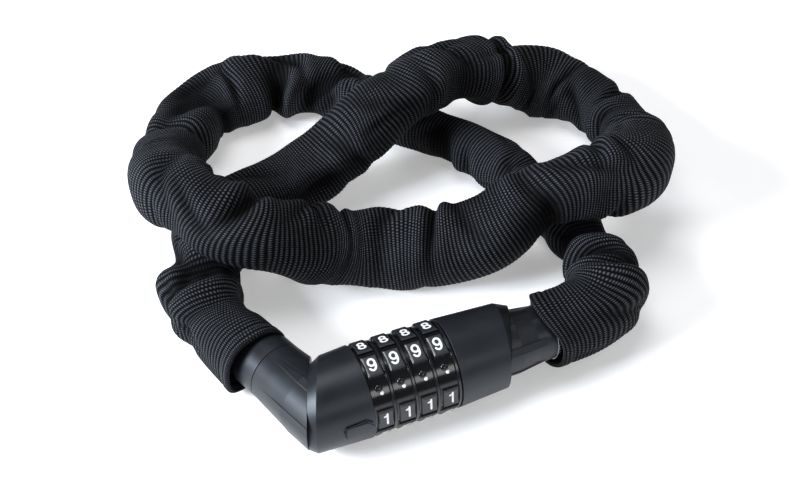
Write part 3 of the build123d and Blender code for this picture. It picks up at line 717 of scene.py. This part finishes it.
def outline_loops(strokes):
    """Closed outlines of the strokes drawn with a round pen, found on a fine grid."""
    step = 0.02
    xs = np.arange(-0.42, 0.421, step)
    ys = np.arange(-0.62, 0.621, step)
    gx, gy = np.meshgrid(xs, ys, indexing="ij")
    field = np.full(gx.shape, 9.0)
    for stroke in strokes:
        for (ax, ay), (bx, by) in zip(stroke, stroke[1:]):
            dx, dy = bx - ax, by - ay
            span = dx * dx + dy * dy
            t = np.clip(((gx - ax) * dx + (gy - ay) * dy) / span, 0, 1)
            away = np.hypot(gx - ax - t * dx, gy - ay - t * dy)
            field = np.minimum(field, away)
    field = field - STROKE / 2
    segments = {}

    def cut(here, there):
        """Where the outline crosses between two neighbouring grid points."""
        share = field[here] / (field[here] - field[there])
        return (
            round(xs[here[0]] + (xs[there[0]] - xs[here[0]]) * share, 5),
            round(ys[here[1]] + (ys[there[1]] - ys[here[1]]) * share, 5),
        )

    for i in range(len(xs) - 1):
        for j in range(len(ys) - 1):
            corners = [(i, j), (i + 1, j), (i + 1, j + 1), (i, j + 1)]
            inside = [field[c] < 0 for c in corners]
            if all(inside) or not any(inside):
                continue
            leaving, entering = [], []
            for n in range(4):
                a, b = corners[n], corners[(n + 1) % 4]
                if inside[n] and not inside[(n + 1) % 4]:
                    leaving.append(cut(a, b))
                if not inside[n] and inside[(n + 1) % 4]:
                    entering.append(cut(a, b))
            for p, q in zip(leaving, entering):
                if p != q:
                    segments[p] = q
    loops = []
    while segments:
        start, here = next(iter(segments.items()))
        del segments[start]
        loop = [start]
        while here != start and here in segments:
            loop.append(here)
            here = segments.pop(here)
        if len(loop) > 6:
            loops.append(loop)
    return loops


def digit_mesh(strokes):
    """A filled digit about one unit high and very thin, from a 2-D curve."""
    curve = bpy.data.curves.new("digit", "CURVE")
    curve.dimensions = "2D"
    curve.fill_mode = "BOTH"
    curve.extrude = 0.012
    for loop in outline_loops(strokes):
        spline = curve.splines.new("POLY")
        spline.points.add(len(loop) - 1)
        for point, (x, y) in zip(spline.points, loop):
            point.co = (x, y, 0, 1)
        spline.use_cyclic_u = True
    carrier = link_object("digit", curve)
    bpy.context.view_layer.update()
    mesh = bpy.data.meshes.new_from_object(carrier)
    data = ([v.co.copy() for v in mesh.vertices], [tuple(p.vertices) for p in mesh.polygons])
    bpy.data.objects.remove(carrier)
    bpy.data.curves.remove(curve)
    bpy.data.meshes.remove(mesh)
    return data


digit_shapes = {digit: digit_mesh(strokes) for digit, strokes in DIGITS.items()}


def on_dial(x, radius, angle):
    """The frame (across, up, out) round the barrel at x along it and angle above -Y."""
    cosine, sine = cos(radians(angle)), sin(radians(angle))
    out = Vector((0, -cosine, sine))
    up = Vector((0, sine, cosine))
    return Matrix.Translation(BARREL + Vector((x, 0, 0)) + out * radius) @ Matrix(
        ((1, 0, 0), up, out)
    ).transposed().to_4x4()


def dome(radius, height, rings=5, around=20):
    """A low round button on the local xy plane."""
    vertices = [Vector((0, 0, height))]
    faces = []
    for ring in range(1, rings + 1):
        a = pi / 2 * ring / rings
        for k in range(around):
            b = tau * k / around
            vertices.append(
                Vector((radius * sin(a) * cos(b), radius * sin(a) * sin(b), height * cos(a)))
            )
    for k in range(around):
        n = (k + 1) % around
        faces.append((0, 1 + k, 1 + n))
        for ring in range(rings - 1):
            a, b = 1 + ring * around, 1 + (ring + 1) * around
            faces.append((a + k, b + k, b + n, a + n))
    faces.append(tuple(1 + (rings - 1) * around + k for k in reversed(range(around))))
    return vertices, faces


for index in range(4):
    left = (index - 2) * DIAL_PITCH + DIAL_LEFT
    vertices, faces = [], []

    def stamp(shape, place, scale):
        """Add a shape to this dial's vertices and faces at a place."""
        some, polygons = shape
        faces.extend(tuple(i + len(vertices) for i in p) for p in polygons)
        for v in some:
            vertices.append(place @ Vector((v.x * scale[0], v.y * scale[1], v.z * scale[2])))

    for digit, shape in digit_shapes.items():
        angle = CODE_ROW - ROW_STEP * (digit - 1)
        place = on_dial(left + TILE_CENTRE, TILE_FACE + PAINT / 2, angle)
        stamp(shape, place, (DIGIT_HEIGHT, DIGIT_HEIGHT, 0.003))
    stamp(
        dome(DOT_RADIUS, DOT_HEIGHT),
        on_dial(left + TILE_CENTRE + 0.3 * MM, VALLEY_RADIUS - 0.05 * MM, DOT_ROW),
        (1, 1, 1),
    )
    marks = mesh_object(f"dial_marks_{index + 1}", vertices, faces, smooth=False)
    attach(marks, f"number_dial_{index + 1}")

    vertices, faces = [], []
    stamp(
        dome(BUMP_RADIUS, BUMP_HEIGHT),
        on_dial(left + TILE_CENTRE - 0.5 * MM, VALLEY_RADIUS - 0.1 * MM, BUMP_ROW),
        (1, 1, 1),
    )
    bump = mesh_object(f"zero_bump_{index + 1}", vertices, faces)
    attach(bump, f"number_dial_{index + 1}")


# ---- painted shadow: a dark line along the index mark's upper left edge ----
MARK_RADIUS = 17.95 * MM
MARK_ANGLE = 5.0
MARK_LINE = 0.62 * MM
MARK_LINE_DEPTH = 0.3 * MM
# (x along the barrel, distance up round it) in mm.
MARK_CORNERS = [(-28.6, -2.2), (-28.9, 0.2), (-28.2, 2.1), (-20.6, 3.0), (-18.4, 1.6)]


def index_line():
    """A thin dark strip of painted shadow on the barrel, from the mark's left end along its top to
    its point.
    """
    corners = MARK_CORNERS
    vertices, faces = [], []
    for number, (x, y) in enumerate(corners):
        before = corners[max(number - 1, 0)]
        after = corners[min(number + 1, len(corners) - 1)]
        way = Vector((after[0] - before[0], after[1] - before[1])).normalized()
        share = 0.45 if number in (0, len(corners) - 1) else 1.0
        for side in (-0.5, 0.5):
            for lift in (-MARK_LINE_DEPTH, 0.0):
                across = x * MM - way.y * side * MARK_LINE * share
                up = y * MM + way.x * side * MARK_LINE * share
                angle = MARK_ANGLE + np.degrees(up / MARK_RADIUS)
                place = on_dial(across, MARK_RADIUS + lift, angle)
                vertices.append(place.translation)
    for number in range(len(corners) - 1):
        a, b = number * 4, number * 4 + 4
        faces += [
            (a + 1, b + 1, b + 3, a + 3),
            (a, a + 2, b + 2, b),
            (a, b, b + 1, a + 1),
            (a + 2, a + 3, b + 3, b + 2),
        ]
    last = len(corners) * 4 - 4
    faces += [(0, 1, 3, 2), (last, last + 2, last + 3, last + 1)]
    return mesh_object("index_line", vertices, faces, smooth=False)


mark_line = index_line()
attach(mark_line, "lock_body")


# ---- materials ----
def new_material(name, base, roughness, metallic=0.0, specular=0.5):
    """A new material with its node tree and its shader."""
    material = bpy.data.materials.new(name)
    material.use_nodes = True
    shader = material.node_tree.nodes["Principled BSDF"]
    shader.inputs["Base Color"].default_value = (*base, 1)
    shader.inputs["Roughness"].default_value = roughness
    shader.inputs["Metallic"].default_value = metallic
    shader.inputs["Specular IOR Level"].default_value = specular
    return material, material.node_tree, shader


def add_node(tree, kind, **settings):
    node = tree.nodes.new(kind)
    for key, value in settings.items():
        setattr(node, key, value)
    return node


def noise_of(tree, scale, detail=3.0):
    """Noise over the object's own coordinates, in metres."""
    coordinates = add_node(tree, "ShaderNodeTexCoord")
    noise = add_node(tree, "ShaderNodeTexNoise")
    noise.inputs["Scale"].default_value = scale
    noise.inputs["Detail"].default_value = detail
    tree.links.new(coordinates.outputs["Object"], noise.inputs["Vector"])
    return noise.outputs["Fac"]


def remap(tree, value, low, high, to_low, to_high):
    node = add_node(tree, "ShaderNodeMapRange")
    node.inputs["From Min"].default_value = low
    node.inputs["From Max"].default_value = high
    node.inputs["To Min"].default_value = to_low
    node.inputs["To Max"].default_value = to_high
    tree.links.new(value, node.inputs["Value"])
    return node.outputs["Result"]


def mix_colour(tree, value, first, second):
    node = add_node(tree, "ShaderNodeMix", data_type="RGBA")
    node.inputs["A"].default_value = (*first, 1)
    node.inputs["B"].default_value = (*second, 1)
    tree.links.new(value, node.inputs["Factor"])
    return node.outputs["Result"]


def combine(tree, operation, first, second):
    """One math node, whose inputs are numbers or other nodes' outputs."""
    node = add_node(tree, "ShaderNodeMath", operation=operation)
    for socket, value in zip(node.inputs, (first, second)):
        if isinstance(value, (int, float)):
            socket.default_value = value
        else:
            tree.links.new(value, socket)
    return node.outputs[0]


def bumped(tree, shader, height, distance, strength=1.0, round_edges=0.0):
    """Give the shader a bump from a height, and rounded edges where a radius is given."""
    bump = add_node(tree, "ShaderNodeBump")
    bump.inputs["Strength"].default_value = strength
    bump.inputs["Distance"].default_value = distance
    tree.links.new(height, bump.inputs["Height"])
    if round_edges:
        bevel = add_node(tree, "ShaderNodeBevel", samples=6)
        bevel.inputs["Radius"].default_value = round_edges
        tree.links.new(bevel.outputs["Normal"], bump.inputs["Normal"])
    tree.links.new(bump.outputs["Normal"], shader.inputs["Normal"])


def moulded(name, dark, light, smooth, rough, grain, edge, specular=0.5):
    """Moulded plastic: fine grain, a little uneven in colour and gloss, soft edges."""
    material, tree, shader = new_material(name, dark, smooth, specular=specular)
    shader.inputs["Specular Tint"].default_value = (0.88, 0.94, 1.0, 1)
    cloud = noise_of(tree, 90, 4)
    patches = remap(tree, cloud, 0.3, 0.7, 0, 1)
    tree.links.new(mix_colour(tree, patches, dark, light), shader.inputs["Base Color"])
    tree.links.new(remap(tree, cloud, 0.3, 0.7, smooth, rough), shader.inputs["Roughness"])
    bumped(tree, shader, noise_of(tree, 5200, 2), grain, 0.5, edge)
    return material


def metal(name, dark, light, roughness, grain, edge=0.12 * MM):
    """Bare metal, a little uneven in colour and polish, with soft edges."""
    material, tree, shader = new_material(name, dark, roughness, 1.0)
    cloud = noise_of(tree, 220, 5)
    patches = remap(tree, cloud, 0.3, 0.7, 0, 1)
    polish = remap(tree, cloud, 0.3, 0.7, roughness * 0.8, roughness * 1.3)
    tree.links.new(mix_colour(tree, patches, dark, light), shader.inputs["Base Color"])
    tree.links.new(polish, shader.inputs["Roughness"])
    bumped(tree, shader, noise_of(tree, 3000, 3), grain, 0.4, edge)
    return material


housing = moulded(
    "housing_plastic",
    (0.005, 0.0055, 0.0075),
    (0.0085, 0.0095, 0.012),
    0.36,
    0.46,
    0.03 * MM,
    0.35 * MM,
    specular=0.44,
)
washer = moulded(
    "washer_plastic", (0.01, 0.01, 0.011), (0.02, 0.02, 0.022), 0.4, 0.5, 0.02 * MM, 0.05 * MM
)
rubber = moulded(
    "seal_rubber", (0.012, 0.012, 0.012), (0.02, 0.02, 0.02), 0.7, 0.85, 0.03 * MM, 0.1 * MM
)
steel = metal("pin_steel", (0.42, 0.43, 0.45), (0.55, 0.56, 0.58), 0.28, 0.01 * MM)
zinc = metal("cast_zinc", (0.4, 0.41, 0.42), (0.5, 0.51, 0.52), 0.5, 0.04 * MM)
spring = metal("spring_steel", (0.3, 0.31, 0.33), (0.45, 0.46, 0.48), 0.25, 0.01 * MM)
brass = metal("ring_brass", (0.6, 0.42, 0.17), (0.75, 0.56, 0.26), 0.25, 0.01 * MM)
chrome = metal("ferrule_chrome", (0.75, 0.76, 0.78), (0.9, 0.9, 0.92), 0.14, 0.004 * MM)
chain = metal("chain_steel", (0.3, 0.31, 0.32), (0.45, 0.46, 0.47), 0.35, 0.03 * MM)

# Dial plastic is satin on the raised tiles and glossy in the valleys between them, and the valleys
# are darker with painted shade.
GLOSSY_BELOW = 16.9 * MM
SATIN_ABOVE = 17.2 * MM
dial, dial_tree, dial_shader = new_material("dial_plastic", (0.012, 0.013, 0.016), 0.2)
where = add_node(dial_tree, "ShaderNodeTexCoord")
parts = add_node(dial_tree, "ShaderNodeSeparateXYZ")
dial_tree.links.new(where.outputs["Object"], parts.inputs["Vector"])
y_away = combine(dial_tree, "SUBTRACT", parts.outputs["Y"], BARREL.y)
z_away = combine(dial_tree, "SUBTRACT", parts.outputs["Z"], BARREL.z)
radius_squared = combine(
    dial_tree,
    "ADD",
    combine(dial_tree, "MULTIPLY", y_away, y_away),
    combine(dial_tree, "MULTIPLY", z_away, z_away),
)
from_axis = combine(dial_tree, "SQRT", radius_squared, 0.0)
on_tile = remap(dial_tree, from_axis, GLOSSY_BELOW, SATIN_ABOVE, 0, 1)
# Painted shade: the valleys take a darker colour than the tiles.
dial_tree.links.new(
    mix_colour(dial_tree, on_tile, (0.004, 0.004, 0.005), (0.011, 0.012, 0.015)),
    dial_shader.inputs["Base Color"],
)
dial_tree.links.new(remap(dial_tree, on_tile, 0, 1, 0.14, 0.38), dial_shader.inputs["Roughness"])
bumped(dial_tree, dial_shader, noise_of(dial_tree, 4200, 2), 0.015 * MM, 0.5, 0.2 * MM)

# The index mark's dark line is painted shadow, in a near-black material.
painted_mark_shadow = moulded(
    "mark_shadow", (0.001, 0.001, 0.001), (0.002, 0.002, 0.002), 0.8, 0.9, 0.01 * MM, 0.02 * MM
)

paint, paint_tree, paint_shader = new_material("digit_paint", (0.85, 0.86, 0.87), 0.42)
paint_cloud = noise_of(paint_tree, 900, 3)
paint_tree.links.new(
    mix_colour(paint_tree, paint_cloud, (0.78, 0.79, 0.81), (0.92, 0.92, 0.92)),
    paint_shader.inputs["Base Color"],
)
bumped(paint_tree, paint_shader, noise_of(paint_tree, 6000, 2), 0.01 * MM, 0.4)

# Woven sleeve: ribs across the sleeve, each a row of short yarn floats, with painted shade in the
# fold valleys and painted light on the folds' lips and bulges.
fabric, tree, shader = new_material(
    "sleeve_fabric", (0.012, 0.012, 0.014), 0.6, specular=0.08
)
RIB_SHARPNESS = 3.2
DOT_SHARPNESS = 2.8
weave_map = add_node(tree, "ShaderNodeUVMap", uv_map="weave")
weave_parts = add_node(tree, "ShaderNodeSeparateXYZ")
tree.links.new(weave_map.outputs["UV"], weave_parts.inputs["Vector"])
rib_place = weave_parts.outputs["X"]
dot_place = weave_parts.outputs["Y"]
rib_wave = combine(tree, "SINE", combine(tree, "MULTIPLY", rib_place, pi), 0.0)
rib_ridge = combine(tree, "ABSOLUTE", rib_wave, 0.0)
rib_number = combine(tree, "FLOOR", rib_place, 0.0)
stagger = combine(tree, "MULTIPLY", rib_number, 0.5)
dot_wave = combine(
    tree, "SINE", combine(tree, "MULTIPLY", combine(tree, "ADD", dot_place, stagger), pi), 0.0
)
dot_ridge = combine(tree, "ABSOLUTE", dot_wave, 0.0)
rib_float = combine(tree, "POWER", rib_ridge, RIB_SHARPNESS)
dot_float = combine(tree, "POWER", dot_ridge, DOT_SHARPNESS)
thread = combine(tree, "MULTIPLY", rib_float, dot_float)
weave_height = combine(
    tree, "ADD", combine(tree, "MULTIPLY", rib_ridge, 0.6), combine(tree, "MULTIPLY", thread, 0.4)
)
uneven = noise_of(tree, 1400, 3)
worn = noise_of(tree, 55, 4)
lit = combine(tree, "MULTIPLY", thread, remap(tree, uneven, 0.3, 0.7, 0.5, 1.3))
lit = combine(tree, "MULTIPLY", lit, remap(tree, worn, 0.3, 0.7, 0.75, 1.15))
# Painted shade and light: the colour is darkened in the fold valleys and lightened on the lips and
# bulges.
painted_fold_shade = add_node(tree, "ShaderNodeAttribute", attribute_name="painted_fold_shade")
lit = combine(tree, "MULTIPLY", lit, remap(tree, painted_fold_shade.outputs["Fac"], -0.3, 0.8, 1.3, 0.12))
tree.links.new(
    mix_colour(tree, lit, (0.0003, 0.0003, 0.0004), (0.086, 0.092, 0.108)),
    shader.inputs["Base Color"],
)
tree.links.new(remap(tree, lit, 0, 1, 0.8, 0.5), shader.inputs["Roughness"])
bumped(tree, shader, weave_height, 0.3 * MM, 0.9)

BY_SLOT = {
    "housing_plastic": housing,
    "dial_plastic": dial,
    "ring_brass": brass,
    "pin_steel": steel,
    "cast_zinc": zinc,
    "spring_steel": spring,
    "washer_plastic": washer,
    "seal_rubber": rubber,
    "ferrule_chrome": chrome,
    "sleeve_fabric": fabric,
    "chain_steel": chain,
}


def dress(piece, material):
    piece.data.materials.clear()
    piece.data.materials.append(material)


slot_of_node = {row["node"]: row["material_slot"] for row in frame["record"]["subparts"]}
for node_name, node in frame["nodes"].items():
    dress(node, BY_SLOT[slot_of_node[node_name]])
for piece in (main_sleeve, plug_sleeve):
    dress(piece, fabric)
for piece in (main_chain, plug_chain):
    dress(piece, chain)
dress(mark_line, painted_mark_shadow)
for index in range(1, 5):
    dress(bpy.data.objects[f"dial_marks_{index}"], paint)
    dress(bpy.data.objects[f"zero_bump_{index}"], dial)

# ---- floor and light ----
FLOOR_HALF = 3.0
FLOOR_HEIGHT = -0.2 * MM
FLOOR_GLOW = 0.35
WORLD_LIGHT = 0.14
floor_corners = [
    (x * FLOOR_HALF, y * FLOOR_HALF, FLOOR_HEIGHT) for x, y in ((-1, -1), (1, -1), (1, 1), (-1, 1))
]
floor = mesh_object("floor", floor_corners, [(0, 1, 2, 3)])
floor_material, _, floor_shader = new_material("floor_pale", (0.88, 0.88, 0.89), 0.9)
floor_shader.inputs["Emission Color"].default_value = (1, 1, 1, 1)
floor_shader.inputs["Emission Strength"].default_value = FLOOR_GLOW
dress(floor, floor_material)

world = bpy.data.worlds.new("studio")
world.use_nodes = True
sky = world.node_tree.nodes["Background"]
sky.inputs["Color"].default_value = (0.93, 0.96, 1.0, 1)
sky.inputs["Strength"].default_value = WORLD_LIGHT
scene.world = world
scene.view_settings.view_transform = "Standard"


def soft_box(name, place, size, power, colour=(1, 1, 1)):
    """An area light at a place measured from the barrel, aimed near the sleeve's middle."""
    data = bpy.data.lights.new(name, "AREA")
    data.shape = "RECTANGLE"
    data.size, data.size_y = size
    data.energy = power
    data.color = colour
    lamp = link_object(name, data)
    lamp.location = BARREL + Vector(place)
    aim = BARREL + Vector((0.04, 0.08, 0.0))
    lamp.rotation_euler = (aim - lamp.location).to_track_quat("-Z", "Y").to_euler()


soft_box("overhead", (-0.15, 0.35, 1.3), (0.8, 0.8), 9)
soft_box("front", (0.35, -1.1, 0.75), (0.6, 0.35), 3)
soft_box("left", (-1.05, 0.1, 0.55), (0.5, 0.4), 30, (0.84, 0.91, 1.0))
soft_box("right", (1.1, -0.3, 0.9), (0.6, 0.6), 2)
